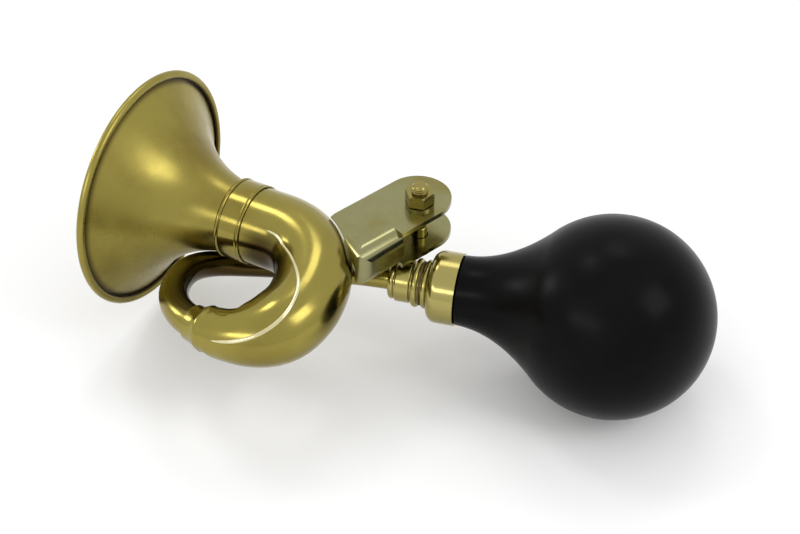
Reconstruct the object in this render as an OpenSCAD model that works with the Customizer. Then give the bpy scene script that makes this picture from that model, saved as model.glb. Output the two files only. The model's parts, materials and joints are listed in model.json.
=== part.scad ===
// Bulb horn with a single loop of brass tube, a flared bell, a reed in a screwed socket,
// a rubber bulb and a pressed steel clamp bracket. Millimetres, +Z up.
// The reed and the bulb lie on a line along X, with the bulb at +X and the bell at -X.
// The origin is in the middle of the clamp jaw, on the axis of the clamp bolt.

/* [Bell] */
// Diameter over the rolled rim of the bell
bell_mouth_d = 77; // [72:1:84]
// Step from the large tube down to the neck of the bell
neck_step = 0.9; // [0.6:0.05:1.1]
// Length of the flare from the ferrule to the rim
bell_flare_len = 31.5; // [28:0.5:36]
// How late the flare opens into the rim
bell_flare_power = 2.7; // [2.4:0.1:3.2]
// Share of the opening that is a straight cone
bell_cone_share = 0.3; // [0.2:0.02:0.4]
// Sheet thickness of the bell
bell_wall = 0.7; // [0.6:0.05:0.9]
// Diameter of the bead rolled round the rim wire
rim_bead_d = 2.6; // [2.4:0.1:3]
// Diameter of the wire inside the rolled rim
rim_wire_d = 1.2; // [1:0.05:1.3]
// Length of the ferrule that joins bell and loop
ferrule_len = 8.6; // [8:0.2:11]

/* [Loop] */
// Centre line radius where the small tube enters the loop
loop_r_start = 23.3; // [22.8:0.1:24]
// Centre line radius where the large tube leaves the loop
loop_r_end = 20; // [19.8:0.1:20.6]
// How far the loop swells outward on the side of the large tube
loop_swell = 2.6; // [2.2:0.1:3]
// How far the small tube bows outward after it passes under the bell
cross_bow = 0.7; // [0.4:0.1:1]
// Angle the tube turns through from reed to bell
loop_turn = 347; // [345:0.5:350]
// Height of the bell axis over the reed axis
loop_rise = 14; // [13.4:0.1:14.6]
// Angle of the middle of the joint between the two tubes
joint_angle = 190; // [188:1:192]
// Slant of the mouth of the large tube, in degrees of the loop
mouth_lean = 18; // [15:0.5:19]
// Outside diameter of the small tube at the reed
small_tube_d = 7.4; // [7:0.1:7.8]
// Outside diameter of the small tube at the joint
small_tube_end_d = 10.3; // [9.9:0.1:10.7]
// Outside diameter of the large tube at its mouth
mouth_d = 15.6; // [15.2:0.1:16.2]
// Outside diameter of the large tube after its mouth
large_tube_d = 22; // [21.4:0.1:22.6]
// Outside diameter of the large tube at the bell
large_tube_end_d = 24.2; // [23.6:0.1:24.6]
// Wall of both tubes
tube_wall = 0.6; // [0.5:0.05:0.7]

/* [Reed] */
// Distance from the middle of the loop to the reed socket
socket_x = 38.5; // [38:0.1:39.2]
// Diameter of the largest bead on the reed socket
socket_d = 15.4; // [15:0.1:16]
// Width of the round beads on the reed socket and the screw cap
bead_w = 2.2; // [2:0.1:2.4]
// Width of the plain band on the reed socket
band_w = 4.8; // [4.4:0.1:5.2]
// Outside diameter of the reed tube that the tongue beats on
shallot_d = 6.4; // [6:0.1:6.8]
// Length of the reed tube beyond the plug
shallot_reach = 23; // [20:0.5:24]
// Width of the reed tongue
tongue_w = 4.2; // [3.6:0.1:4.4]
// Thickness of the reed tongue
tongue_t = 0.3; // [0.25:0.05:0.4]
// Lift of the tongue tip from its seat, in degrees
tongue_lift = 2.4; // [2:0.1:3]

/* [Bulb] */
// Diameter of the rubber bulb
bulb_d = 62.4; // [58:0.2:66]
// Distance from the collar to the centre of the bulb
bulb_reach = 47.4; // [45:0.2:52]
// Diameter of the rubber neck where it leaves the collar
neck_d = 22.6; // [22:0.1:23]
// Thickness of the rubber
bulb_wall = 2.8; // [2.2:0.1:3.4]
// Length of the brass collar over the rubber neck
collar_len = 9; // [8:0.2:10]

/* [Bracket] */
// Sheet thickness of the bracket
bracket_t = 1.5; // [1.2:0.1:1.8]
// Width of the bracket ears
ear_w = 21; // [20.2:0.2:21.8]
// Distance from the closed foot to the bolt
ear_reach = 30; // [29:0.25:31]
// Clear height of the jaw between the ears
jaw_gap = 10.4; // [9.6:0.1:11.4]
// Length of the side wall at the foot
foot_len = 17; // [16:0.5:18]
// Slant of the closed end of the foot across the ears
foot_slant = 12; // [9:0.5:14]
// Distance of the bolt from the middle line of the ears
bolt_offset = 3; // [2.4:0.1:3.4]
// Angle of the ears from the reed axis
ear_angle = 56; // [54.5:0.5:57.5]
// Diameter of the clamp bolt
bolt_d = 5; // [4.6:0.1:5.2]

/* [Hidden] */
$fn = 96;
seat_gap = 0.1;
run_gap = 0.06;
body_gap = 0.3;
ferrule_wall = 0.4;
ferrule_r = large_tube_end_d/2 + seat_gap + ferrule_wall;
ferrule_bead = 0.25;
cross_gap = 0.7;
cross_angle = 18;
coil_angle = 177;
loop_dip = ferrule_r + ferrule_bead + small_tube_d/2 + cross_gap + 1.4 - loop_rise;
bell_heading = 180 + loop_turn;
neck_r = large_tube_end_d/2 - neck_step;
rim_bead_r = rim_bead_d/2;
rim_wire_r = rim_wire_d/2;
straight_len = 8.6;
ferrule_s = straight_len - 0.6;
flare_s = ferrule_s + ferrule_len;
tube_sides = 30;
socket_r = socket_d/2;
groove_w = 0.5;
socket_len = 2*bead_w + band_w + groove_w;
tube_seat = 4;
plug_r = 5.2;
plug_len = 9;
spigot_r = 6.2;
spigot_len = 5.2;
washer_t = 0.6;
face_x = socket_x + socket_len;
cap_x = face_x + washer_t + body_gap;
cap_neck = 1;
cap_tail = 2;
collar_x = cap_x + bead_w;
collar_r = neck_d/2 + 0.05;
collar_wall = 0.7;
neck_x = collar_x + collar_len;
flange_x = face_x + spigot_len + 0.5;
flange_t = 1.5;
nipple_r = 6.5;
nipple_len = 25;
plug_x = face_x + spigot_len - plug_len - 1;
shallot_r = shallot_d/2;
flat_z = shallot_r*0.62;
root_x = plug_x + plug_len + 4;
tip_x = plug_x + plug_len + shallot_reach;
bulb_r = bulb_d/2;
bulb_x = neck_x + bulb_reach;
meet = bulb_reach*0.535;
flare_k = (sqrt(bulb_r*bulb_r - pow(bulb_reach - meet, 2)) - neck_d/2)/(meet*meet);
bolt_at = [socket_x + 6, 11.3];
low_z = socket_r + 0.9;
jaw_z = low_z + bracket_t;
top_z = jaw_z + jaw_gap;
ear_top = top_z + bracket_t;
jaw_mid = jaw_z + jaw_gap/2;
bend_r = 4.5;
near_y = bolt_offset - ear_w/2;
foot_corner = [bend_r - ear_reach, near_y + bend_r];
ear_end = 1.8;
beyond = 60;
bolt_hole_r = bolt_d/2 + 0.25;
nut_w = 8;
nut_h = 4;
washer_r = 4.5;
plate_t = 0.8;
head_h = 3.2;

function ease(u) = u*u*(3 - 2*u);
function unit(v) = v/norm(v);
function mix(a, b, u) = a + (b - a)*u;

// Centre line of the loop at angle a, measured from the reed end
function hump(a, middle, half) = pow(cos(90*max(-1, min(1, (a - middle)/half))), 2);
function climb(u) = (u - pow(max(0, u - 0.8), 2)/0.4)/0.9;
function loop_radius(a) =
    mix(loop_r_start, loop_r_end, pow(min(1, a/coil_angle), 2))
    + cross_bow*hump(a, 75, 75) + loop_swell*hump(a, 212, 65);
function loop_point(a) = [
    -loop_radius(a)*sin(a),
    -loop_r_start + loop_radius(a)*cos(a),
    loop_rise*climb(a/loop_turn) - loop_dip*hump(a, cross_angle, 62)];
function loop_heading(a) = unit(loop_point(a + 0.5) - loop_point(a - 0.5));
// Lead from the reed socket into the loop at distance x
lead_z = loop_point(0)[2];
function sag(u) = u*u*(2 - u);
function lead_point(x) = [x, 0, lead_z*sag(max(0, (socket_x - x)/socket_x))];

loop_end = loop_point(loop_turn);
bell_dir = [cos(bell_heading), sin(bell_heading), 0];
function bell_point(s) = loop_end + s*bell_dir;

// The small tube ends inside the sleeve
small_end_a = joint_angle - 10;
function small_r(a) = mix(small_tube_d, small_tube_end_d, min(1, a/small_end_a))/2;
// The large tube starts narrow at its slanted mouth and widens towards the bell
mouth_a = joint_angle - mouth_lean;
function large_r(a) =
    let (u = max(0, a - mouth_a))
    mix(mouth_d, mix(large_tube_d, large_tube_end_d, u/(loop_turn - mouth_a)), ease(min(1, u/55)))/2;
// The sleeve flares from the small tube to the inside of the mouth, with a bead on the way
sleeve_wall = 0.9;
sleeve_flare = 22;
sleeve_start_a = mouth_a - sleeve_flare;
sleeve_end_a = joint_angle + mouth_lean + 2;
sleeve_in_r = small_tube_end_d/2 + seat_gap;
function sleeve_r(a) =
    mix(sleeve_in_r + 0.4, large_r(a) - tube_wall - seat_gap, ease(min(1, (a - sleeve_start_a)/sleeve_flare)))
    + 0.5*hump(a, mouth_a - 8, 3.5);
function sleeve_bore(a) = max(sleeve_in_r, sleeve_r(a) - sleeve_wall);

// Rings of points across a path
function heading(path, i) =
    let (n = len(path) - 1)
    unit(i == 0 ? 4*path[1] - 3*path[0] - path[2]
        : i == n ? 3*path[n] - 4*path[n - 1] + path[n - 2]
        : path[i + 1] - path[i - 1]);
function ring_point(c, t, r, turn) =
    let (u = unit(cross(t, [0, 0, 1])), v = cross(u, t))
    c + r*cos(turn)*u + r*sin(turn)*v;
function ring(c, t, r) =
    [for (k = [0:tube_sides - 1]) ring_point(c, t, r, 360*k/tube_sides)];
function rings(path, radii, grow) =
    [for (i = [0:len(path) - 1]) each ring(path[i], heading(path, i), radii[i] + grow)];

lead_steps = 7;
small_steps = 36;
small_path = concat(
    [for (k = [0:lead_steps - 1]) lead_point((socket_x + tube_seat)*(1 - k/lead_steps))],
    [for (k = [0:small_steps]) loop_point(small_end_a*k/small_steps)]);
small_radii = concat(
    [for (k = [0:lead_steps - 1]) small_tube_d/2],
    [for (k = [0:small_steps]) small_r(small_end_a*k/small_steps)]);

large_steps = 36;
slant_fade = 60;
function slant(a) = mouth_lean*max(0, 1 - (a - joint_angle)/slant_fade);
function large_ring(a, grow) =
    [for (k = [0:tube_sides - 1])
        let (turn = 360*k/tube_sides, b = a - slant(a)*cos(turn))
        ring_point(loop_point(b), loop_heading(b), large_r(b) + grow, turn)];
function large_rings(grow) = concat(
    [for (k = [0:large_steps]) each large_ring(mix(joint_angle, loop_turn, k/large_steps), grow)],
    [for (s = [straight_len/2, straight_len])
        each ring(bell_point(s), bell_dir, large_tube_end_d/2 + grow)]);

sleeve_steps = 24;
function sleeve_rings(inside) =
    [for (k = [0:sleeve_steps])
        let (a = mix(sleeve_start_a, sleeve_end_a, k/sleeve_steps))
        each ring(loop_point(a), loop_heading(a), inside ? sleeve_bore(a) : sleeve_r(a))];

// A thin pipe between the rings of its outer and its inner skin
module pipe(outer, inner) {
    n = tube_sides;
    far = len(outer);
    last = far/n - 1;
    outside = [for (i = [0:last - 1], k = [0:n - 1])
        let (a = i*n + k, b = i*n + (k + 1) % n)
        each [[a, b, b + n], [a, b + n, a + n]]];
    inside = [for (i = [0:last - 1], k = [0:n - 1])
        let (a = far + i*n + k, b = far + i*n + (k + 1) % n)
        each [[a, b + n, b], [a, a + n, b + n]]];
    mouth = [for (k = [0:n - 1])
        let (a = k, b = (k + 1) % n)
        each [[a, a + far, b + far], [a, b + far, b]]];
    tail = [for (k = [0:n - 1])
        let (a = last*n + k, b = last*n + (k + 1) % n)
        each [[a, b, b + far], [a, b + far, a + far]]];
    polyhedron(concat(outer, inner), concat(outside, inside, mouth, tail));
}

// Everything is drawn from the middle of the loop and then moved to the clamp
module placed() {
    translate([-bolt_at[0], -bolt_at[1], -jaw_mid])
        children();
}

// Turns a profile about the reed axis, distances measured along +X
module turned() {
    rotate([0, 90, 0])
        rotate_extrude()
            children();
}

// Turns a profile about the bell axis, distances measured from the end of the loop
module on_bell() {
    translate(loop_end)
        rotate([0, 0, bell_heading])
            rotate([0, 90, 0])
                rotate_extrude()
                    children();
}

rim_s = flare_s + bell_flare_len;
flare_top_r = bell_mouth_d/2 - rim_bead_r - (rim_bead_r - bell_wall)*0.43;
function flare_r(u) =
    mix(neck_r, flare_top_r, bell_cone_share*u + (1 - bell_cone_share)*pow(u, bell_flare_power));
function flare_slope(u) =
    (flare_top_r - neck_r)/bell_flare_len
    *(bell_cone_share + (1 - bell_cone_share)*bell_flare_power*pow(max(u, 0.0001), bell_flare_power - 1));
function flare_out(u) = [flare_r(u), flare_s + u*bell_flare_len];
function flare_in(u) =
    flare_out(u) + bell_wall*unit([-1, flare_slope(u)]);
rim_turn = atan2(1, flare_slope(1));
rim_at = flare_out(1) + (rim_bead_r - bell_wall)*[sin(rim_turn), -cos(rim_turn)];

module bell() {
    color("goldenrod")
        placed()
            on_bell()
                difference() {
                    union() {
                        polygon(concat(
                            [[neck_r, ferrule_s + 3]],
                            [for (k = [0:24]) flare_out(k/24)],
                            [for (k = [24:-1:0]) flare_in(k/24)],
                            [[neck_r - bell_wall, ferrule_s + 3]]));
                        translate(rim_at)
                            circle(r = rim_bead_r, $fn = 32);
                    }
                    translate(rim_at)
                        circle(r = rim_wire_r + 0.03, $fn = 32);
                    translate(rim_at)
                        rotate(180 + rim_turn)
                            translate([0, -0.14])
                                square([rim_bead_d, 0.28]);
                }
}

module rim_wire() {
    color("dimgray")
        placed()
            on_bell()
                translate(rim_at)
                    circle(r = rim_wire_r, $fn = 32);
}

// A plain band between two fine grooves, with a bead next to the bell
module bell_ferrule() {
    bead_r = 0.65;
    groove_r = 0.4;
    lip = 0.9;
    color("darkgoldenrod")
        placed()
            on_bell()
                difference() {
                    union() {
                        translate([0, ferrule_s])
                            square([ferrule_r, ferrule_len]);
                        translate([ferrule_r + ferrule_bead - bead_r, flare_s - bead_r])
                            circle(r = bead_r, $fn = 32);
                    }
                    square([neck_r + seat_gap, flare_s + 1]);
                    square([large_tube_end_d/2 + seat_gap, straight_len + seat_gap]);
                    for (s = [ferrule_s + lip, flare_s - 2*bead_r])
                        translate([ferrule_r + groove_r/2, s])
                            circle(r = groove_r, $fn = 24);
                }
}

module large_loop_tube() {
    color("goldenrod")
        placed()
            pipe(large_rings(0), large_rings(-tube_wall));
}

module small_loop_tube() {
    color("goldenrod")
        placed()
            pipe(rings(small_path, small_radii, 0), rings(small_path, small_radii, -tube_wall));
}

module loop_joint_sleeve() {
    color("darkgoldenrod")
        placed()
            pipe(sleeve_rings(false), sleeve_rings(true));
}

// Round bead of the given outer radius on a turned piece
module bead(x, r) {
    translate([r - bead_w/2, x + bead_w/2])
        circle(d = bead_w, $fn = 48);
}

// Plain band with round edges on a turned piece
module band(x, w, r, edge) {
    for (s = [x + edge, x + w - edge])
        translate([r - edge, s])
            circle(r = edge, $fn = 32);
    translate([0, x])
        square([r - edge, w]);
    translate([0, x + edge])
        square([r, w - 2*edge]);
}

module reed_socket() {
    bore = small_tube_d/2 + seat_gap;
    body_r = socket_r - 1.8;
    band_edge = 0.5;
    color("darkgoldenrod")
        placed()
            turned()
                difference() {
                    union() {
                        translate([0, socket_x + bead_w/2])
                            square([body_r, socket_len - bead_w/2 + spigot_len]);
                        bead(socket_x, body_r + 0.4);
                        band(socket_x + bead_w, band_w, body_r + 0.9, band_edge);
                        bead(face_x - bead_w, socket_r);
                        translate([0, face_x - bead_w/2])
                            square([socket_r - 0.7, bead_w/2]);
                        translate([0, face_x - bead_w/2])
                            square([spigot_r, bead_w/2 + spigot_len]);
                    }
                    square([bore, socket_x + tube_seat + body_gap]);
                    translate([0, plug_x - seat_gap])
                        square([plug_r + seat_gap, beyond]);
                    square([bore - tube_wall - 0.4, face_x]);
                }
}

module sealing_washer() {
    color("saddlebrown")
        placed()
            turned()
                translate([spigot_r + 0.1, face_x])
                    square([socket_r - 0.9 - spigot_r, washer_t]);
}

module reed_plug() {
    color("goldenrod")
        placed()
            turned()
                translate([shallot_r + 0.02, plug_x])
                    square([plug_r - shallot_r - 0.02, plug_len]);
}

module reed_shallot() {
    slot_w = tongue_w*0.55;
    color("goldenrod")
        placed()
            difference() {
                translate([plug_x, 0, 0])
                    rotate([0, 90, 0])
                        cylinder(r = shallot_r, h = tip_x - plug_x);
                translate([plug_x - 1, 0, 0])
                    rotate([0, 90, 0])
                        cylinder(r = shallot_r - 0.8, h = tip_x - plug_x - 1);
                translate([plug_x + plug_len + 0.6, -shallot_r, flat_z])
                    cube([shallot_reach, 2*shallot_r, shallot_r]);
                translate([root_x + 4, -slot_w/2, 0])
                    cube([tip_x - root_x - 7, slot_w, shallot_r]);
            }
}

module reed_tongue() {
    color("peru")
        placed()
            translate([root_x, 0, flat_z + 0.05])
                rotate([0, -tongue_lift, 0])
                    translate([0, -tongue_w/2, 0])
                        cube([tip_x - root_x - 0.5, tongue_w, tongue_t]);
}

module reed_wedge() {
    wedge_l = 3.2;
    color("darkgoldenrod")
        placed()
            difference() {
                translate([root_x - wedge_l - 0.2, 0, 0])
                    rotate([0, 90, 0])
                        cylinder(r = shallot_r + 1, h = wedge_l);
                translate([root_x - wedge_l - 1.2, 0, 0])
                    rotate([0, 90, 0])
                        intersection() {
                            cylinder(r = shallot_r + 0.02, h = wedge_l + 2);
                            translate([-flat_z - 0.02, -shallot_d, 0])
                                cube([2*shallot_d, 2*shallot_d, wedge_l + 2]);
                        }
            }
}

module screw_cap() {
    bore = spigot_r + run_gap;
    color("darkgoldenrod")
        placed()
            turned()
                difference() {
                    union() {
                        bead(cap_x, socket_r);
                        translate([0, cap_x + body_gap])
                            square([bore + cap_neck, bead_w + cap_tail]);
                    }
                    square([bore, 2*beyond]);
                }
}

// Plain cup with a round shoulder
module bulb_collar() {
    shoulder = 3;
    color("goldenrod")
        placed()
            turned()
                difference() {
                    union() {
                        translate([collar_r - shoulder, collar_x + shoulder])
                            intersection() {
                                circle(r = shoulder);
                                translate([0, -shoulder])
                                    square([shoulder, shoulder]);
                            }
                        translate([0, collar_x])
                            square([collar_r - shoulder, shoulder]);
                        translate([0, collar_x + shoulder])
                            square([collar_r, collar_len - shoulder]);
                    }
                    translate([0, collar_x + collar_wall])
                        square([collar_r - shoulder - 0.2, collar_len]);
                    translate([0, flange_x - body_gap])
                        square([collar_r - collar_wall, collar_len]);
                    square([spigot_r + run_gap + cap_neck + seat_gap, flange_x]);
                }
}

module bulb_nipple() {
    color("darkgoldenrod")
        placed()
            turned()
                union() {
                    translate([nipple_r - 0.9, flange_x])
                        square([0.9, nipple_len]);
                    translate([nipple_r - 0.9, flange_x])
                        square([collar_r - collar_wall - 0.1 - nipple_r + 0.9, flange_t]);
                    translate([nipple_r - 0.25, flange_x + nipple_len - 1])
                        circle(r = 0.5, $fn = 24);
                }
}

function pear_r(x) =
    x < meet ? neck_d/2 + flare_k*x*x : sqrt(max(0, bulb_r*bulb_r - pow(x - bulb_reach, 2)));
function hollow_r(x) =
    let (r = bulb_r - bulb_wall)
    sqrt(max(0, r*r - pow(x - bulb_reach, 2)));

module rubber_bulb() {
    seat_x = flange_x + flange_t + body_gap;
    bore = nipple_r + body_gap;
    grip_r = collar_r - collar_wall - body_gap;
    hollow_start = bulb_reach - sqrt(pow(bulb_r - bulb_wall, 2) - bore*bore);
    color("dimgray")
        placed()
            turned()
                polygon(concat(
                    [[bore, seat_x], [grip_r, seat_x], [grip_r, neck_x + body_gap],
                     [neck_d/2, neck_x + body_gap]],
                    [for (k = [1:24]) let (x = meet*k/24) [pear_r(x), neck_x + x]],
                    [for (k = [1:48])
                        let (a = mix(acos((bulb_reach - meet)/bulb_r), 180, k/48))
                        [max(0, bulb_r*sin(a)), bulb_x - bulb_r*cos(a)]],
                    [for (k = [0:47])
                        let (a = mix(180, acos((bulb_reach - hollow_start)/(bulb_r - bulb_wall)), k/48))
                        [max(0, (bulb_r - bulb_wall)*sin(a)), bulb_x - (bulb_r - bulb_wall)*cos(a)]],
                    [[bore, neck_x + hollow_start]]));
}

// Draws in the plane of the ears: x runs from the foot to the bolt, y across the ears
module on_ears() {
    translate([bolt_at[0], bolt_at[1], 0])
        rotate([0, 0, ear_angle])
            children();
}

// Edge of the foot seen along a bend, measured from the middle of the bend
module foot_bend(inset) {
    r = bend_r - inset;
    for (z = [low_z + bend_r, ear_top - bend_r])
        translate([0, z])
            circle(r = r, $fn = 64);
    translate([-r, low_z + bend_r])
        square([2*r, ear_top - low_z - 2*bend_r]);
    translate([0, low_z + inset])
        square([beyond, ear_top - low_z - 2*inset]);
}

// Outline of the foot seen from above, open towards the bolt and at the far side
module foot_plan(inset) {
    r = bend_r - inset;
    circle(r = r, $fn = 64);
    translate([0, -r])
        square([beyond, beyond]);
    rotate(-foot_slant)
        translate([-r, 0])
            square([beyond, beyond]);
}

// Filled block of the foot with round bends
module foot_block(inset) {
    translate(foot_corner)
        intersection() {
            linear_extrude(beyond)
                foot_plan(inset);
            rotate([0, 0, -foot_slant])
                rotate([90, 0, 0])
                    linear_extrude(2*beyond, center = true)
                        foot_bend(inset);
            rotate([90, 0, 90])
                linear_extrude(2*beyond, center = true)
                    foot_bend(inset);
        }
}

module ear_outline() {
    translate([foot_len - ear_reach - 0.5, near_y])
        square([ear_reach - foot_len + 0.5 + ear_end, ear_w]);
    translate([ear_end, bolt_offset])
        circle(d = ear_w);
}

module bracket() {
    color("lightgray")
        placed()
            difference() {
                on_ears()
                    union() {
                        // the foot is closed at its end and along the near side
                        intersection() {
                            difference() {
                                foot_block(0);
                                foot_block(bracket_t);
                            }
                            translate([-beyond, near_y - 1, 0])
                                cube([beyond + foot_len - ear_reach, ear_w + 1, beyond]);
                        }
                        for (z = [low_z, top_z])
                            translate([0, 0, z])
                                linear_extrude(bracket_t)
                                    ear_outline();
                    }
                translate([bolt_at[0], bolt_at[1], low_z - 1])
                    cylinder(r = bolt_hole_r, h = beyond);
                // the foot is cut to sit against the loop
                translate([0, -loop_r_start, loop_rise - 0.6])
                    rotate_extrude($fn = 160)
                        translate([loop_r_end + 0.3, 0])
                            circle(r = large_tube_end_d/2 + 0.1, $fn = 96);
            }
}

module clamp_bolt() {
    color("gold")
        placed()
            translate([bolt_at[0], bolt_at[1], 0]) {
                translate([0, 0, low_z - plate_t - body_gap])
                    cylinder(r = bolt_d/2, h = ear_top - low_z + 2*plate_t + nut_h + 3);
                translate([0, 0, low_z - plate_t - body_gap - head_h])
                    linear_extrude(head_h)
                        circle(d = nut_w/cos(30), $fn = 6);
            }
}

module clamp_washers() {
    color("silver")
        placed()
            for (z = [low_z - plate_t, ear_top])
                translate([bolt_at[0], bolt_at[1], z])
                    difference() {
                        cylinder(r = washer_r, h = plate_t);
                        translate([0, 0, -1])
                            cylinder(r = bolt_d/2 + run_gap, h = plate_t + 2);
                    }
}

module clamp_nut() {
    color("gold")
        placed()
            translate([bolt_at[0], bolt_at[1], ear_top + plate_t + body_gap])
                difference() {
                    intersection() {
                        linear_extrude(nut_h)
                            circle(d = nut_w/cos(30), $fn = 6);
                        cylinder(r1 = nut_w/2 + 2.6, r2 = nut_w/2 - 0.05, h = nut_h + 0.6);
                    }
                    translate([0, 0, -1])
                        cylinder(r = bolt_d/2 + run_gap, h = nut_h + 2);
                }
}

bell();
rim_wire();
bell_ferrule();
large_loop_tube();
loop_joint_sleeve();
small_loop_tube();
reed_socket();
sealing_washer();
reed_plug();
reed_shallot();
reed_tongue();
reed_wedge();
screw_cap();
bulb_collar();
bulb_nipple();
rubber_bulb();
bracket();
clamp_bolt();
clamp_washers();
clamp_nut();
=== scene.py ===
"""Looks of a brass bulb horn with a rubber bulb and a clamp bracket, in metres."""

import json
import math

import bpy
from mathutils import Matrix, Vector

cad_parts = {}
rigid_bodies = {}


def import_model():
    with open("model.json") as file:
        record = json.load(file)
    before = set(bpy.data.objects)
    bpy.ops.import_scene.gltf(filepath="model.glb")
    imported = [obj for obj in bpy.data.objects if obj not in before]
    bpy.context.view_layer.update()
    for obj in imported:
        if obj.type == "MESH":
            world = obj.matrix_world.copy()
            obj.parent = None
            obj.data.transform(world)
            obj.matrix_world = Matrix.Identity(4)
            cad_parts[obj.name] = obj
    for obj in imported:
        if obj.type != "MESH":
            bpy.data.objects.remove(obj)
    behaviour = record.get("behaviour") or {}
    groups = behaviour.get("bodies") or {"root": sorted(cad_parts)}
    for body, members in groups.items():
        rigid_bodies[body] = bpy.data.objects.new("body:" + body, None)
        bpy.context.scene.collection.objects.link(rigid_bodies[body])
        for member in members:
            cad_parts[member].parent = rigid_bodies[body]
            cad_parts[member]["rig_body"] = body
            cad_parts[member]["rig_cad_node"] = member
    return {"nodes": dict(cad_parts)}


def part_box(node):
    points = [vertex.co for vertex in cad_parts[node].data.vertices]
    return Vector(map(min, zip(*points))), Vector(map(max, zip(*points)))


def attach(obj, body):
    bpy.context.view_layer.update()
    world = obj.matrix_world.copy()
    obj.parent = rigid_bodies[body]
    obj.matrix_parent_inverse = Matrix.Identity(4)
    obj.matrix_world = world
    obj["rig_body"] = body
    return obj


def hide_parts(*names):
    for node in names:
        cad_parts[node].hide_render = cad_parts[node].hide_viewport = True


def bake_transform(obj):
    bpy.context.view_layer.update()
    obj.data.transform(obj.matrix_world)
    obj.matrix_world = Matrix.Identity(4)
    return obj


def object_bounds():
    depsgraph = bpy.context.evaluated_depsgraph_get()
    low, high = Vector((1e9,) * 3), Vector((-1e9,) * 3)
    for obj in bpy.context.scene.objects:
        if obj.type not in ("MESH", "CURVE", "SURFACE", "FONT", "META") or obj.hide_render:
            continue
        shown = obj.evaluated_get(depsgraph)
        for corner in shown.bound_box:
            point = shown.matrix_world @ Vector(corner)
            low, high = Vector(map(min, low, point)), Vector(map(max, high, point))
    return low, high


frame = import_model()
cad_low, cad_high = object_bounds()

MM = 0.001

# Points nearer than this many millimetres are one point
WELD = 0.002

# Smooth shading crosses edges that bend less than this many degrees
SPUN_BEND = 40.0
TUBE_BEND = 35.0
THREAD_BEND = 30.0
SEAM_BEND = 50.0

# Camera of the photograph
CAMERA_PLACE = (0.09151, -0.36992, 0.31452)
CAMERA_AZIMUTH = 14.8
CAMERA_ELEVATION = 41.2
CAMERA_LENS = 72.0
CAMERA_SENSOR = 36.0

# Finishes, as linear colours
BRASS = (0.285, 0.237, 0.056)
BRASS_DARK = (0.20, 0.155, 0.034)
TURNED_BRASS = (0.36, 0.31, 0.105)
PLATE = (0.27, 0.26, 0.13)
PLATE_GOLD = (0.235, 0.205, 0.07)
BOLT_GOLD = (0.30, 0.25, 0.075)
# Painted shade: dark colour laid over brass where shade falls and where dark surroundings are mirrored
SHADE_PAINT = (0.05, 0.034, 0.01)
# Pale solder, made brighter to paint the bright highlight line along the seam
SOLDER_AND_HIGHLIGHT = (0.72, 0.66, 0.4)
RUBBER = (0.0022, 0.0022, 0.0023)
RUBBER_BLOOM = (0.0042, 0.0042, 0.0044)
LEATHER = (0.1, 0.075, 0.025)
LEATHER_WORN = (0.15, 0.115, 0.04)

# Lowest and highest roughness of a finish
SATIN = (0.26, 0.36)
POLISHED = (0.16, 0.25)
BURNISHED = (0.14, 0.22)
LATHE_BRIGHT = (0.14, 0.24)
SOLDER_BRIGHT = (0.16, 0.24)
ZINC_BRIGHT = (0.17, 0.23)
RUBBER_SHEEN = (0.27, 0.36)

# Fineness of the tool marks, as the scale of their noise
SPUN_MARKS = 2600.0
DRAWN_MARKS = 900.0
LATHE_MARKS = 3000.0


def deselect():
    """Leaves object mode with nothing selected."""
    if bpy.context.mode != "OBJECT":
        bpy.ops.object.mode_set(mode="OBJECT")
    bpy.ops.object.select_all(action="DESELECT")


def new_piece(name, slot, material, *nodes):
    """Names the active object, gives it a finish, and puts it in place of the CAD nodes."""
    piece = bpy.context.active_object
    piece.name = name
    piece.data.name = name
    piece.data.materials.clear()
    piece.data.materials.append(material)
    if nodes:
        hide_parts(*nodes)
    return piece


def smooth_up_to(bend):
    bpy.ops.object.shade_smooth_by_angle(angle=math.radians(bend))


# Shared shader groups


def group_socket(group, name, way, kind, value=None):
    socket = group.interface.new_socket(name=name, in_out=way, socket_type=kind)
    if value is not None:
        socket.default_value = value
    return socket


def make_cloud_group():
    """Soft uneven patches, such as smudges, tarnish or bloom."""
    group = bpy.data.node_groups.new("soft_patches", "ShaderNodeTree")
    group_socket(group, "Vector", "INPUT", "NodeSocketVector")
    group_socket(group, "Scale", "INPUT", "NodeSocketFloat", 40.0)
    group_socket(group, "Low", "INPUT", "NodeSocketFloat", 0.35)
    group_socket(group, "High", "INPUT", "NodeSocketFloat", 0.7)
    group_socket(group, "Mask", "OUTPUT", "NodeSocketFloat")
    nodes, links = group.nodes, group.links
    inside = nodes.new("NodeGroupInput")
    outside = nodes.new("NodeGroupOutput")
    noise = nodes.new("ShaderNodeTexNoise")
    noise.inputs["Detail"].default_value = 5.0
    noise.inputs["Roughness"].default_value = 0.55
    reach = nodes.new("ShaderNodeMapRange")
    reach.interpolation_type = "SMOOTHSTEP"
    links.new(inside.outputs["Vector"], noise.inputs["Vector"])
    links.new(inside.outputs["Scale"], noise.inputs["Scale"])
    links.new(noise.outputs["Fac"], reach.inputs["Value"])
    links.new(inside.outputs["Low"], reach.inputs["From Min"])
    links.new(inside.outputs["High"], reach.inputs["From Max"])
    links.new(reach.outputs["Result"], outside.inputs["Mask"])
    return group


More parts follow.
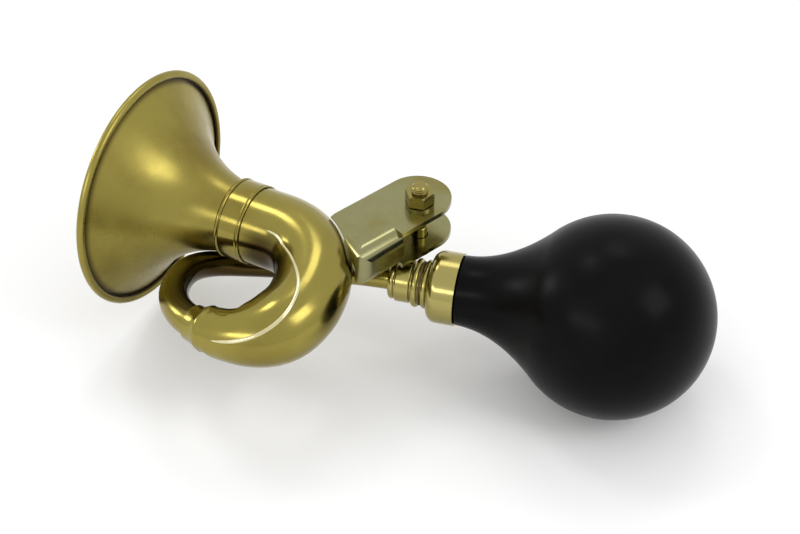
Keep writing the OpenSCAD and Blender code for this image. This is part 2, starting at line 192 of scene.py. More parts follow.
def make_marks_group():
    """Fine tool marks that run round the X axis of the given coordinates, and the distance from it."""
    group = bpy.data.node_groups.new("turning_marks", "ShaderNodeTree")
    group_socket(group, "Vector", "INPUT", "NodeSocketVector")
    group_socket(group, "Fineness", "INPUT", "NodeSocketFloat", 1500.0)
    group_socket(group, "Marks", "OUTPUT", "NodeSocketFloat")
    group_socket(group, "Radius", "OUTPUT", "NodeSocketFloat")
    nodes, links = group.nodes, group.links
    inside = nodes.new("NodeGroupInput")
    outside = nodes.new("NodeGroupOutput")
    parts = nodes.new("ShaderNodeSeparateXYZ")
    across = nodes.new("ShaderNodeCombineXYZ")
    radius = nodes.new("ShaderNodeVectorMath")
    radius.operation = "LENGTH"
    along = nodes.new("ShaderNodeMath")
    along.operation = "ADD"
    noise = nodes.new("ShaderNodeTexNoise")
    noise.noise_dimensions = "1D"
    noise.inputs["Detail"].default_value = 3.0
    links.new(inside.outputs["Vector"], parts.inputs["Vector"])
    links.new(parts.outputs["Y"], across.inputs["Y"])
    links.new(parts.outputs["Z"], across.inputs["Z"])
    links.new(across.outputs["Vector"], radius.inputs[0])
    links.new(parts.outputs["X"], along.inputs[0])
    links.new(radius.outputs["Value"], along.inputs[1])
    links.new(along.outputs["Value"], noise.inputs["W"])
    links.new(inside.outputs["Fineness"], noise.inputs["Scale"])
    links.new(noise.outputs["Fac"], outside.inputs["Marks"])
    links.new(radius.outputs["Value"], outside.inputs["Radius"])
    return group


SOFT_PATCHES = make_cloud_group()
TURNING_MARKS = make_marks_group()


# Materials


def new_material(name):
    material = bpy.data.materials.new(name)
    material.use_nodes = True
    nodes = material.node_tree.nodes
    return material, nodes, material.node_tree.links, nodes["Principled BSDF"]


def placed_group(nodes, group, **values):
    node = nodes.new("ShaderNodeGroup")
    node.node_tree = group
    for name, value in values.items():
        node.inputs[name].default_value = value
    return node


def mixed_colour(nodes, links, mask, first, second):
    mix = nodes.new("ShaderNodeMix")
    mix.data_type = "RGBA"
    mix.inputs["A"].default_value = (*first, 1.0)
    mix.inputs["B"].default_value = (*second, 1.0)
    links.new(mask, mix.inputs["Factor"])
    return mix.outputs["Result"]


def covered(nodes, links, colour, mask, cover):
    mix = nodes.new("ShaderNodeMix")
    mix.data_type = "RGBA"
    mix.inputs["B"].default_value = (*cover, 1.0)
    links.new(colour, mix.inputs["A"])
    links.new(mask, mix.inputs["Factor"])
    return mix.outputs["Result"]


def faded(nodes, links, value, unshaded, shaded):
    """A mask of painted shade that grows from nothing at the unshaded distance to all at the shaded one, in
    millimetres.
    """
    reach = nodes.new("ShaderNodeMapRange")
    reach.interpolation_type = "SMOOTHSTEP"
    reach.inputs["From Min"].default_value = min(unshaded, shaded)*MM
    reach.inputs["From Max"].default_value = max(unshaded, shaded)*MM
    reach.inputs["To Min"].default_value = 0.0 if unshaded < shaded else 1.0
    reach.inputs["To Max"].default_value = 1.0 if unshaded < shaded else 0.0
    links.new(value, reach.inputs["Value"])
    return reach.outputs["Result"]


def ranged(nodes, links, value, low, high):
    reach = nodes.new("ShaderNodeMapRange")
    reach.inputs["To Min"].default_value = low
    reach.inputs["To Max"].default_value = high
    links.new(value, reach.inputs["Value"])
    return reach.outputs["Result"]


def bumped(nodes, links, height, distance, strength):
    bump = nodes.new("ShaderNodeBump")
    bump.inputs["Distance"].default_value = distance
    bump.inputs["Strength"].default_value = strength
    links.new(height, bump.inputs["Height"])
    return bump.outputs["Normal"]


def brass_finish(name, light, dark, roughness, axis_place, axis_turn, fineness, painted_shade=()):
    """Brass with tool marks round the axis of the piece, soft tarnish and painted shade.

    Each pair for the painted shade gives the distance from the axis where it starts and where it covers all,
    in millimetres. Where there are two pairs, the painted shade lies where both cover."""
    material, nodes, links, shader = new_material(name)
    place = nodes.new("ShaderNodeTexCoord")
    mapping = nodes.new("ShaderNodeMapping")
    mapping.vector_type = "TEXTURE"
    mapping.inputs["Location"].default_value = axis_place
    mapping.inputs["Rotation"].default_value = axis_turn
    tarnish = placed_group(nodes, SOFT_PATCHES, Scale=38.0, Low=0.42, High=0.78)
    smudge = placed_group(nodes, SOFT_PATCHES, Scale=130.0, Low=0.3, High=0.75)
    marks = placed_group(nodes, TURNING_MARKS, Fineness=fineness)
    links.new(place.outputs["Object"], mapping.inputs["Vector"])
    links.new(place.outputs["Object"], tarnish.inputs["Vector"])
    links.new(place.outputs["Object"], smudge.inputs["Vector"])
    links.new(mapping.outputs["Vector"], marks.inputs["Vector"])
    colour = mixed_colour(nodes, links, tarnish.outputs["Mask"], light, dark)
    if painted_shade:
        mask = faded(nodes, links, marks.outputs["Radius"], *painted_shade[0])
        for unshaded, shaded in painted_shade[1:]:
            both = nodes.new("ShaderNodeMath")
            both.operation = "MULTIPLY"
            links.new(mask, both.inputs[0])
            links.new(faded(nodes, links, marks.outputs["Radius"], unshaded, shaded), both.inputs[1])
            mask = both.outputs["Value"]
        # Painted shade covers the brass where the mask lies
        colour = covered(nodes, links, colour, mask, SHADE_PAINT)
    links.new(colour, shader.inputs["Base Color"])
    links.new(ranged(nodes, links, smudge.outputs["Mask"], *roughness), shader.inputs["Roughness"])
    relief = bumped(nodes, links, marks.outputs["Marks"], distance=0.02*MM, strength=0.35)
    links.new(relief, shader.inputs["Normal"])
    shader.inputs["Metallic"].default_value = 1.0
    return material


wire_low, wire_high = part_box("rim_wire")
rim_middle = (wire_low + wire_high)/2
socket_low, socket_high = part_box("reed_socket")
reed_axis = (socket_low + socket_high)/2
BELL_TURN = math.radians(167.0)
LOOP_MIDDLE = Vector((-44.5, -34.6, -15.3))
loop_axis = LOOP_MIDDLE*MM

# Turns that lay the X axis of the tool marks along the axis of the bell, the loop and the reed
ROUND_BELL = (0.0, 0.0, BELL_TURN)
ROUND_LOOP = (0.0, math.radians(90.0), 0.0)
ROUND_REED = (0.0, 0.0, 0.0)

# Painted shade and dark reflection beside the rolled rim, and painted shade on the side of each tube that
# faces the middle of the loop
RIM_PAINTED_SHADE = ((33.6, 35.8), (36.8, 36.2))
LARGE_TUBE_PAINTED_SHADE = ((12.5, 8.0),)
SMALL_TUBE_PAINTED_SHADE = ((25.5, 19.5),)
SLEEVE_PAINTED_SHADE = ((19.5, 15.0),)

bell_brass = brass_finish(
    "bell_brass", BRASS, BRASS_DARK, SATIN, rim_middle, ROUND_BELL, SPUN_MARKS, RIM_PAINTED_SHADE)
large_tube_brass = brass_finish(
    "large_tube_brass", BRASS, BRASS_DARK, POLISHED, loop_axis, ROUND_LOOP, DRAWN_MARKS, LARGE_TUBE_PAINTED_SHADE)
small_tube_brass = brass_finish(
    "small_tube_brass", BRASS, BRASS_DARK, POLISHED, loop_axis, ROUND_LOOP, DRAWN_MARKS, SMALL_TUBE_PAINTED_SHADE)
sleeve_brass = brass_finish(
    "sleeve_brass", BRASS, BRASS_DARK, BURNISHED, loop_axis, ROUND_LOOP, DRAWN_MARKS, SLEEVE_PAINTED_SHADE)
ferrule_brass = brass_finish(
    "ferrule_brass", BRASS, BRASS_DARK, BURNISHED, rim_middle, ROUND_BELL, SPUN_MARKS)
turned_brass = brass_finish(
    "turned_brass", TURNED_BRASS, BRASS, LATHE_BRIGHT, reed_axis, ROUND_REED, LATHE_MARKS)
# The seam's pale colour is partly solder and partly painted highlight
seam_solder_and_highlight = brass_finish(
    "seam_solder_and_highlight", SOLDER_AND_HIGHLIGHT, BRASS, SOLDER_BRIGHT, loop_axis, ROUND_LOOP, DRAWN_MARKS)


def plated_finish(name, light, gold):
    """Pressed steel with a thin yellow passivation that clouds from silver to gold."""
    material, nodes, links, shader = new_material(name)
    place = nodes.new("ShaderNodeTexCoord")
    cloud = placed_group(nodes, SOFT_PATCHES, Scale=70.0, Low=0.35, High=0.72)
    grain = placed_group(nodes, SOFT_PATCHES, Scale=350.0, Low=0.2, High=0.8)
    links.new(place.outputs["Object"], cloud.inputs["Vector"])
    links.new(place.outputs["Object"], grain.inputs["Vector"])
    colour = mixed_colour(nodes, links, cloud.outputs["Mask"], light, gold)
    relief = bumped(nodes, links, grain.outputs["Mask"], distance=0.008*MM, strength=0.2)
    links.new(colour, shader.inputs["Base Color"])
    links.new(ranged(nodes, links, grain.outputs["Mask"], *ZINC_BRIGHT), shader.inputs["Roughness"])
    links.new(relief, shader.inputs["Normal"])
    shader.inputs["Metallic"].default_value = 1.0
    return material


plated_steel = plated_finish("plated_steel", PLATE, PLATE_GOLD)
yellow_steel = plated_finish("yellow_plated_steel", BOLT_GOLD, PLATE_GOLD)


def rubber_finish():
    """Satin moulded rubber with a faint bloom and a fine mould texture."""
    material, nodes, links, shader = new_material("black_rubber")
    place = nodes.new("ShaderNodeTexCoord")
    bloom = placed_group(nodes, SOFT_PATCHES, Scale=45.0, Low=0.4, High=0.8)
    grain = placed_group(nodes, SOFT_PATCHES, Scale=1400.0, Low=0.25, High=0.75)
    links.new(place.outputs["Object"], bloom.inputs["Vector"])
    links.new(place.outputs["Object"], grain.inputs["Vector"])
    links.new(
        mixed_colour(nodes, links, bloom.outputs["Mask"], RUBBER, RUBBER_BLOOM), shader.inputs["Base Color"])
    links.new(ranged(nodes, links, bloom.outputs["Mask"], *RUBBER_SHEEN), shader.inputs["Roughness"])
    relief = bumped(nodes, links, grain.outputs["Mask"], distance=0.02*MM, strength=0.3)
    links.new(relief, shader.inputs["Normal"])
    shader.inputs["Specular IOR Level"].default_value = 0.055
    return material


def leather_finish():
    """Oiled brown leather of the sealing washer."""
    material, nodes, links, shader = new_material("washer_leather")
    place = nodes.new("ShaderNodeTexCoord")
    grain = placed_group(nodes, SOFT_PATCHES, Scale=700.0, Low=0.3, High=0.7)
    links.new(place.outputs["Object"], grain.inputs["Vector"])
    links.new(
        mixed_colour(nodes, links, grain.outputs["Mask"], LEATHER, LEATHER_WORN), shader.inputs["Base Color"])
    relief = bumped(nodes, links, grain.outputs["Mask"], distance=0.05*MM, strength=0.5)
    links.new(relief, shader.inputs["Normal"])
    shader.inputs["Roughness"].default_value = 0.8
    shader.inputs["Specular IOR Level"].default_value = 0.1
    return material


black_rubber = rubber_finish()
washer_leather = leather_finish()

FINISHES = {
    "bell": bell_brass,
    "rim_wire": plated_steel,
    "bell_ferrule": ferrule_brass,
    "large_loop_tube": large_tube_brass,
    "loop_joint_sleeve": sleeve_brass,
    "small_loop_tube": small_tube_brass,
    "reed_socket": turned_brass,
    "sealing_washer": washer_leather,
    "reed_plug": turned_brass,
    "reed_shallot": turned_brass,
    "reed_tongue": turned_brass,
    "reed_wedge": turned_brass,
    "screw_cap": turned_brass,
    "bulb_collar": turned_brass,
    "bulb_nipple": turned_brass,
    "rubber_bulb": black_rubber,
    "bracket": plated_steel,
    "clamp_bolt": yellow_steel,
    "clamp_washers": plated_steel,
    "clamp_nut": yellow_steel,
}

for node, finish in FINISHES.items():
    cad_mesh = frame["nodes"][node].data
    cad_mesh.materials.clear()
    cad_mesh.materials.append(finish)


# Smooth pieces that stand for CAD nodes


def smooth_copy(node, body, slot):
    """A merged copy of a CAD node with smooth shading across faces that meet gently."""
    deselect()
    source = frame["nodes"][node]
    source.select_set(True)
    bpy.context.view_layer.objects.active = source
    bpy.ops.object.duplicate()
    piece = new_piece(node + "_smooth", slot, FINISHES[node])
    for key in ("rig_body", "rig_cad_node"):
        del piece[key]
    bpy.ops.object.parent_clear(type="CLEAR_KEEP_TRANSFORM")
    bpy.ops.object.mode_set(mode="EDIT")
    bpy.ops.mesh.select_all(action="SELECT")
    bpy.ops.mesh.remove_doubles(threshold=WELD*MM)
    bpy.ops.object.mode_set(mode="OBJECT")
    smooth_up_to(TUBE_BEND)
    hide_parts(node)
    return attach(piece, body)


def drawn_line(places):
    """Draws a line of edges from place to place and stays in edit mode with all of it selected."""
    deselect()
    bpy.ops.mesh.primitive_plane_add(size=MM, location=places[0])
    bpy.ops.object.transform_apply(location=True, rotation=True, scale=True)
    bpy.ops.object.mode_set(mode="EDIT")
    bpy.ops.mesh.select_all(action="SELECT")
    bpy.ops.mesh.merge(type="CENTER")
    for place_from, place_to in zip(places, places[1:]):
        bpy.ops.mesh.extrude_region_move(TRANSFORM_OT_translate={"value": place_to - place_from})
    bpy.ops.mesh.select_all(action="SELECT")


def closed_skin():
    """Joins the seams of the mesh in edit mode, turns its faces outward and leaves edit mode."""
    bpy.ops.mesh.select_all(action="SELECT")
    bpy.ops.mesh.remove_doubles(threshold=WELD*MM)
    bpy.ops.mesh.normals_make_consistent(inside=False)
    bpy.ops.object.mode_set(mode="OBJECT")
    return bpy.context.active_object


def spun_piece(profile, axis_place, axis, steps):
    """Draws a profile of (along the axis, radius) points and spins it about the axis."""
    axis_place, axis = Vector(axis_place), Vector(axis)
    outward = Vector((0.0, 0.0, 1.0)) if abs(axis.z) < 0.5 else Vector((1.0, 0.0, 0.0))
    drawn_line([axis_place + along*axis + radius*outward for along, radius in profile])
    bpy.ops.mesh.spin(steps=steps, angle=2*math.pi, center=axis_place, axis=axis)
    return closed_skin()


def joined(piece, tool, operation):
    """Applies a boolean of the two shapes to the first and deletes the second."""
    deselect()
    piece.select_set(True)
    bpy.context.view_layer.objects.active = piece
    boolean = piece.modifiers.new("join", "BOOLEAN")
    boolean.operation = operation
    boolean.solver = "EXACT"
    boolean.object = tool
    bpy.ops.object.modifier_apply(modifier=boolean.name)
    bpy.data.objects.remove(tool)
    return piece


# Bell and ferrule, in millimetres along the bell axis from the middle of the rolled rim

BELL_AXIS = (math.cos(BELL_TURN), math.sin(BELL_TURN), 0.0)
BELL_RADIUS = 38.5
NECK_RADIUS = 11.2
FLARE_LENGTH = 31.5
FLARE_POWER = 2.7
CONE_SHARE = 0.3
BELL_WALL = 0.7
RIM_BEAD = 1.3
RIM_LEAN = 0.43
RIM_RADIUS = BELL_RADIUS - RIM_BEAD
FLARE_TOP = RIM_RADIUS - (RIM_BEAD - BELL_WALL)*RIM_LEAN
FLARE_STEPS = 96
ROLL_STEPS = 32
SPUN_STEPS = 160

FERRULE_LENGTH = 8.6
FERRULE_RADIUS = 12.6
FERRULE_EDGE = 0.1
TUBE_SEAT_RADIUS = 12.22
NECK_SEAT_RADIUS = 11.3
NECK_SEAT_LENGTH = 6.0
NECK_STOP = 3.0
BEAD_RADIUS = 0.65
BEAD_MIDDLE = 12.2
BEAD_FROM = 150.0
BEAD_SWEEP = 210.0
BEAD_STEPS = 12
GROOVE_PLACES = (0.9, FERRULE_LENGTH - 2*BEAD_RADIUS)
GROOVE_SHAPE = ((-0.35, 0.0), (-0.2, 0.16), (0.0, 0.22), (0.2, 0.16), (0.35, 0.0))


def in_metres(profile):
    return [(along*MM, radius*MM) for along, radius in profile]


def flare_slope(u):
    steepness = CONE_SHARE + (1 - CONE_SHARE)*FLARE_POWER*u**(FLARE_POWER - 1)
    return (FLARE_TOP - NECK_RADIUS)/FLARE_LENGTH*steepness


rim_turn = math.atan2(1.0, flare_slope(1.0))
flare_end = (RIM_BEAD - BELL_WALL)*math.cos(rim_turn)
flare_start = flare_end - FLARE_LENGTH


def flare_point(u, inset):
    """A point on the flare, moved in from the outer skin by the inset."""
    opening = CONE_SHARE*u + (1 - CONE_SHARE)*u**FLARE_POWER
    slope = flare_slope(u)
    lean = inset/math.hypot(1.0, slope)
    radius = NECK_RADIUS + (FLARE_TOP - NECK_RADIUS)*opening
    return flare_start + u*FLARE_LENGTH + slope*lean, radius - lean


def make_bell():
    """Spun flare with a neck in the ferrule and a rim rolled outward over a wire."""
    neck_end = flare_start - FERRULE_LENGTH + NECK_STOP
    profile = [(neck_end, NECK_RADIUS)]
    for k in range(FLARE_STEPS + 1):
        along, radius = flare_point(k/FLARE_STEPS, 0.0)
        if math.hypot(along, radius - RIM_RADIUS) > RIM_BEAD:
            profile.append((along, radius))
    along, radius = profile[-1]
    turn_from = math.atan2(radius - RIM_RADIUS, along) % (2*math.pi)
    for k in range(ROLL_STEPS + 1):
        turn = turn_from + (-rim_turn - turn_from)*k/ROLL_STEPS
        profile.append((RIM_BEAD*math.cos(turn), RIM_RADIUS + RIM_BEAD*math.sin(turn)))
    for k in range(FLARE_STEPS - 1, -1, -1):
        profile.append(flare_point(k/FLARE_STEPS, BELL_WALL))
    profile.append((neck_end, NECK_RADIUS - BELL_WALL))
    profile.append(profile[0])
    spun_piece(in_metres(profile), rim_middle, BELL_AXIS, SPUN_STEPS)
    bell = new_piece("bell_spun", "lacquered_brass", bell_brass, "bell")
    smooth_up_to(SPUN_BEND)
    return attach(bell, "horn")


def make_ferrule():
    """Plain band between two fine grooves, with a round bead against the bell."""
    start = flare_start - FERRULE_LENGTH
    profile = [
        (start, TUBE_SEAT_RADIUS),
        (start, FERRULE_RADIUS - FERRULE_EDGE),
        (start + FERRULE_EDGE, FERRULE_RADIUS),
    ]
    for groove in GROOVE_PLACES:
        for along, depth in GROOVE_SHAPE:
            profile.append((start + groove + along, FERRULE_RADIUS - depth))
    bead_along = flare_start - BEAD_RADIUS
    for k in range(BEAD_STEPS + 1):
        turn = math.radians(BEAD_FROM - BEAD_SWEEP*k/BEAD_STEPS)
        profile.append((bead_along + BEAD_RADIUS*math.cos(turn), BEAD_MIDDLE + BEAD_RADIUS*math.sin(turn)))
    seat_end = flare_start - NECK_SEAT_LENGTH
    profile += [(flare_start, NECK_SEAT_RADIUS), (seat_end, NECK_SEAT_RADIUS), (seat_end, TUBE_SEAT_RADIUS)]
    profile.append(profile[0])
    spun_piece(in_metres(profile), rim_middle, BELL_AXIS, SPUN_STEPS)
    ferrule = new_piece("ferrule_spun", "lacquered_brass", ferrule_brass, "bell_ferrule")
    smooth_up_to(SPUN_BEND)
    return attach(ferrule, "horn")


make_bell()
make_ferrule()


# Rubber bulb: the neck seats in the collar and swells into a ball

COLLAR_STEP = 0.45*MM
GRIP_STEP = 1.0*MM
NECK_EDGE = 0.3*MM
MEET_SHARE = 0.535
NECK_STEPS = 24
BALL_STEPS = 60
BULB_SPIN_STEPS = 144

collar_low, collar_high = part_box("bulb_collar")
bulb_low, bulb_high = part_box("rubber_bulb")
bulb_radius = (bulb_high[2] - bulb_low[2])/2
bulb_axis = (0.0, (bulb_low[1] + bulb_high[1])/2, (bulb_low[2] + bulb_high[2])/2)
bulb_middle = bulb_high[0] - bulb_radius
neck_start = collar_high[0]
neck_radius = (collar_high[2] - collar_low[2])/2 - COLLAR_STEP
grip_radius = neck_radius - GRIP_STEP
bulb_reach = bulb_middle - neck_start


def bulb_profile():
    """Neck, swell and ball, in metres. The swell meets the ball at its share of the reach."""
    meet = bulb_reach*MEET_SHARE
    meet_angle = math.acos((bulb_reach - meet)/bulb_radius)
    swell = (bulb_radius*math.sin(meet_angle) - neck_radius)/meet**2
    profile = [
        (bulb_low[0], 0.0),
        (bulb_low[0], grip_radius),
        (neck_start + NECK_EDGE, grip_radius),
        (neck_start + NECK_EDGE, neck_radius - NECK_EDGE),
        (neck_start + 2*NECK_EDGE, neck_radius),
    ]
    for k in range(2, NECK_STEPS + 1):
        x = meet*k/NECK_STEPS
        profile.append((neck_start + x, neck_radius + swell*x*x))
    for k in range(1, BALL_STEPS + 1):
        angle = meet_angle + (math.pi - meet_angle)*k/BALL_STEPS
        profile.append((bulb_middle - bulb_radius*math.cos(angle), bulb_radius*math.sin(angle)))
    return profile


def make_bulb():
    spun_piece(bulb_profile(), bulb_axis, (1.0, 0.0, 0.0), BULB_SPIN_STEPS)
    bulb = new_piece("squeeze_bulb", "black_rubber", black_rubber, "rubber_bulb")
    smooth_up_to(SPUN_BEND)
    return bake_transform(bulb)


make_bulb()


# Clamp bolt in millimetres: hexagon head with a chamfer, plain neck and a cut thread

BOLT_AXIS = (0.0, 0.0, 1.0)
HEAD_HEIGHT = 3.2
HEAD_FLATS = 8.0
BOLT_RADIUS = 2.48
THREAD_ROOT = 2.1
THREAD_PITCH = 0.8
NECK_LENGTH = 6.0
NECK_SINK = 0.5
NECK_TAPER = 0.3
HEAD_CHAMFER = 0.5
HEAD_FACE_RADIUS = HEAD_FLATS/2 - 0.2
END_CHAMFER = 0.9
END_CHAMFER_RADIUS = BOLT_RADIUS + 0.1
END_RADIUS = BOLT_RADIUS - 0.6
SPARE_TURNS = 2
ROD_STEPS = 48
THREAD_STEPS = 36
CLEAR_OF_THREAD = 3.0
CLEAR_OF_HEAD = HEAD_FLATS/2 + 0.7

# One turn of the thread, as (along the bolt, radius)
THREAD_FORM = ((0.0, THREAD_ROOT), (0.1, THREAD_ROOT), (0.36, BOLT_RADIUS), (0.46, BOLT_RADIUS),
               (0.72, THREAD_ROOT), (THREAD_PITCH, THREAD_ROOT))

bolt_low, bolt_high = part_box("clamp_bolt")
head_bottom = bolt_low[2]/MM
thread_start = head_bottom + HEAD_HEIGHT + NECK_LENGTH
bolt_end = bolt_high[2]/MM


def make_rod(profile):
    return spun_piece(in_metres(profile), (0.0, 0.0, 0.0), BOLT_AXIS, ROD_STEPS)


def make_thread():
    """One turn of the thread, wound up the bolt and trimmed to its length with a chamfered end."""
    start = thread_start - SPARE_TURNS*THREAD_PITCH
    drawn_line([Vector((radius, 0.0, start + along))*MM for along, radius in THREAD_FORM])
    bpy.ops.object.mode_set(mode="OBJECT")
    thread = bpy.context.active_object
    winding = thread.modifiers.new("winding", "SCREW")
    winding.axis = "Z"
    winding.angle = 2*math.pi
    winding.screw_offset = THREAD_PITCH*MM
    winding.iterations = math.ceil((bolt_end - thread_start)/THREAD_PITCH) + 2*SPARE_TURNS
    winding.steps = THREAD_STEPS
    winding.render_steps = THREAD_STEPS
    bpy.ops.object.modifier_apply(modifier=winding.name)
    bpy.ops.object.mode_set(mode="EDIT")
    bpy.ops.mesh.select_all(action="SELECT")
    bpy.ops.mesh.remove_doubles(threshold=WELD*MM)
    bpy.ops.mesh.fill_holes(sides=0)
    thread = closed_skin()
    chamfer_start = bolt_end - END_CHAMFER
    length = make_rod([
        (thread_start, 0.0), (thread_start, CLEAR_OF_THREAD), (chamfer_start, CLEAR_OF_THREAD),
        (chamfer_start, END_CHAMFER_RADIUS), (bolt_end, END_RADIUS), (bolt_end, 0.0)])
    return joined(thread, length, "INTERSECT")


def make_head():
    """Hexagon with the corners of its lower face cut to a cone."""
    deselect()
    bpy.ops.mesh.primitive_cylinder_add(
        vertices=6, radius=HEAD_FLATS/2/math.cos(math.pi/6)*MM, depth=HEAD_HEIGHT*MM,
        location=(0.0, 0.0, (head_bottom + HEAD_HEIGHT/2)*MM), rotation=(0.0, 0.0, math.pi/6))
    bpy.ops.object.transform_apply(location=True, rotation=True, scale=True)
    head = bpy.context.active_object
    top = head_bottom + HEAD_HEIGHT
    chamfer = make_rod([
        (head_bottom, 0.0), (head_bottom, HEAD_FACE_RADIUS), (head_bottom + HEAD_CHAMFER, CLEAR_OF_HEAD),
        (top + HEAD_CHAMFER, CLEAR_OF_HEAD), (top + HEAD_CHAMFER, 0.0)])
    return joined(head, chamfer, "INTERSECT")


def make_bolt():
    head, thread = make_head(), make_thread()
    sunk = head_bottom + HEAD_HEIGHT - NECK_SINK
    taper_end = thread_start + NECK_TAPER
    neck = make_rod([
        (sunk, 0.0), (sunk, BOLT_RADIUS), (thread_start, BOLT_RADIUS),
        (taper_end, BOLT_RADIUS - NECK_TAPER), (taper_end, 0.0)])
    joined(joined(head, neck, "UNION"), thread, "UNION")
    bolt = new_piece("threaded_bolt", "yellow_plated_steel", yellow_steel, "clamp_bolt")
    smooth_up_to(THREAD_BEND)
    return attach(bolt, "bolt")


make_bolt()


# Loop of tubes

for node in ("large_loop_tube", "loop_joint_sleeve", "small_loop_tube"):
    smooth_copy(node, "horn", "lacquered_brass")


# Solder seam along the wide tube, drawn on its skin by the angle round the loop, in millimetres and degrees

LOOP_TURN = 347.0
LOOP_RADIUS = 20.0
LOOP_SWELL = 2.6
SWELL_ANGLE = 212
SWELL_HALF_WIDTH = 65
LOOP_RISE = 14.0
LEVEL_FROM = 0.8
MOUTH_ANGLE = 172.0
MOUTH_WIDENING = 55
MOUTH_DIAMETER = 15.6
LARGE_TUBE_DIAMETER = 22.0
LARGE_TUBE_GROWTH = 2.2

SEAM_START = 177.0
SEAM_END = 343.0
SEAM_STEPS = 96
SEAM_RADIUS = 0.75
SEAM_DEPTH = 0.45
SEAM_TIP = 0.55
SEAM_TIP_STEPS = 12
SEAM_LOW_TURN = 23.0
SEAM_CLIMB_TURN = 115.0
SEAM_CLIMB_ANGLE = 138.0


def ease(u):
    """A smooth step from 0 to 1."""
    u = max(0.0, min(1.0, u))
    return u*u*(3 - 2*u)


def climb(u):
    """Share of the rise at a share of the turn: an even climb that levels out towards the bell."""
    level = 1 - LEVEL_FROM
    return (u - max(0.0, u - LEVEL_FROM)**2/(2*level))/(1 - level/2)


def loop_place(angle):
    """The middle of the wide tube."""
    swell = math.cos(math.radians(90*max(-1.0, min(1.0, (angle - SWELL_ANGLE)/SWELL_HALF_WIDTH))))**2
    radius = LOOP_RADIUS + LOOP_SWELL*swell
    height = LOOP_RISE*climb(angle/LOOP_TURN)
    turn = math.radians(angle)
    return LOOP_MIDDLE + Vector((-radius*math.sin(turn), radius*math.cos(turn), height))


def tube_radius(angle):
    """Outer radius of the wide tube, which opens fast at its mouth and then slowly towards the bell."""
    along = angle - MOUTH_ANGLE
    wide = LARGE_TUBE_DIAMETER + LARGE_TUBE_GROWTH*along/(LOOP_TURN - MOUTH_ANGLE)
    return (MOUTH_DIAMETER + (wide - MOUTH_DIAMETER)*ease(along/MOUTH_WIDENING))/2


def seam_place(angle):
    """A point just under the skin, in metres, where the seam climbs from the outside over the top."""
    heading = (loop_place(angle + 0.5) - loop_place(angle - 0.5)).normalized()
    outward = heading.cross(Vector((0.0, 0.0, 1.0))).normalized()
    over = outward.cross(heading)
    turn = math.radians(SEAM_LOW_TURN + SEAM_CLIMB_TURN*ease((angle - MOUTH_ANGLE)/SEAM_CLIMB_ANGLE))
    depth = tube_radius(angle) - SEAM_DEPTH
    return (loop_place(angle) + depth*(math.cos(turn)*outward + math.sin(turn)*over))*MM


def make_seam():
    """Draws the seam as a line of edges and gives it a round section that thins out at both ends."""
    sweep = SEAM_END - SEAM_START
    drawn_line([seam_place(SEAM_START + sweep*k/SEAM_STEPS) for k in range(SEAM_STEPS + 1)])
    bpy.ops.object.mode_set(mode="OBJECT")
    bpy.ops.object.convert(target="CURVE")
    line = bpy.context.active_object.data
    line.bevel_depth = SEAM_RADIUS*MM
    line.bevel_resolution = 3
    line.use_fill_caps = True
    for k, point in enumerate(line.splines[0].points):
        point.radius = SEAM_TIP + (1 - SEAM_TIP)*ease(min(k, SEAM_STEPS - k)/SEAM_TIP_STEPS)
    bpy.ops.object.convert(target="MESH")
    seam = new_piece("tube_seam", "lacquered_brass", seam_solder_and_highlight)
    smooth_up_to(SEAM_BEND)
    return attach(seam, "horn")


make_seam()


# Studio

FLOOR_SIZE = 14.0
FLOOR_WHITE = 0.93

# Strength of the world as light on the object, and as the white that is seen and mirrored
WORLD_LIGHT = 0.88
WORLD_SEEN = 1.0


def make_floor():
    deselect()
    bpy.ops.mesh.primitive_plane_add(size=FLOOR_SIZE, location=(0.0, 0.0, cad_low[2]))
    floor = bpy.context.active_object
    floor.name = "floor"
    material, nodes, links, shader = new_material("pale_floor")
    shader.inputs["Base Color"].default_value = (FLOOR_WHITE, FLOOR_WHITE, FLOOR_WHITE, 1.0)
    shader.inputs["Roughness"].default_value = 0.9
    shader.inputs["Specular IOR Level"].default_value = 0.0
    floor.data.materials.append(material)


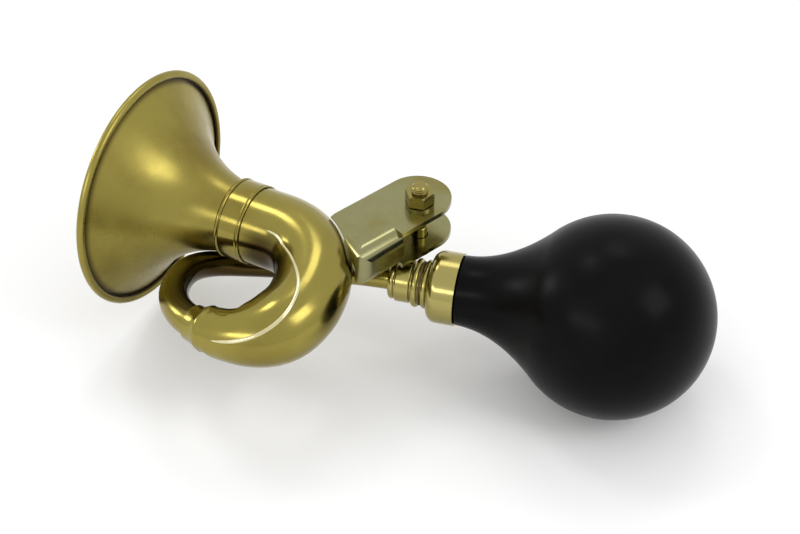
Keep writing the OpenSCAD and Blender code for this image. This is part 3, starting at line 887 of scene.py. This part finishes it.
def make_world():
    world = bpy.data.worlds.new("studio")
    bpy.context.scene.world = world
    world.use_nodes = True
    nodes, links = world.node_tree.nodes, world.node_tree.links
    background = nodes["Background"]
    rays = nodes.new("ShaderNodeLightPath")
    seen = rays.outputs["Is Camera Ray"]
    for ray in ("Is Glossy Ray", "Is Transmission Ray"):
        either = nodes.new("ShaderNodeMath")
        either.operation = "ADD"
        either.use_clamp = True
        links.new(seen, either.inputs[0])
        links.new(rays.outputs[ray], either.inputs[1])
        seen = either.outputs["Value"]
    links.new(ranged(nodes, links, seen, WORLD_LIGHT, WORLD_SEEN), background.inputs["Strength"])
    background.inputs["Color"].default_value = (1.0, 1.0, 1.0, 1.0)


def make_light(name, place, aim, width, height, power):
    light = bpy.data.lights.new(name, "AREA")
    light.shape = "RECTANGLE"
    light.size = width
    light.size_y = height
    light.energy = power
    lamp = bpy.data.objects.new(name, light)
    bpy.context.scene.collection.objects.link(lamp)
    lamp.location = place
    lamp.rotation_euler = (Vector(aim) - Vector(place)).to_track_quat("-Z", "Y").to_euler()


def make_camera():
    data = bpy.data.cameras.new("camera")
    data.lens = CAMERA_LENS
    data.sensor_width = CAMERA_SENSOR
    camera = bpy.data.objects.new("camera", data)
    bpy.context.scene.collection.objects.link(camera)
    camera.location = CAMERA_PLACE
    camera.rotation_euler = (math.radians(90.0 - CAMERA_ELEVATION), 0.0, math.radians(CAMERA_AZIMUTH))
    bpy.context.scene.camera = camera


make_floor()
make_world()
make_light(
    "right_lamp", place=(0.837, -0.226, 0.771), aim=(-0.075, -0.01, 0.015),
    width=0.5, height=0.5, power=2.6)
make_light(
    "back_lamp", place=(-0.036, 0.594, 1.02), aim=(-0.06, -0.03, 0.0),
    width=0.35, height=0.35, power=1.1)
make_light(
    "top_lamp", place=(-0.51, 0.264, 1.033), aim=(0.055, -0.012, 0.013),
    width=0.24, height=0.24, power=1.1)
make_light(
    "front_lamp", place=(-0.49, -0.975, 0.58), aim=(-0.055, -0.02, 0.0),
    width=0.75, height=0.2, power=2.4)
make_light(
    "left_lamp", place=(-1.13, 0.07, 0.44), aim=(-0.02, -0.005, 0.006),
    width=0.25, height=0.25, power=1.6)
make_camera()
bpy.context.scene.view_settings.view_transform = "Standard"
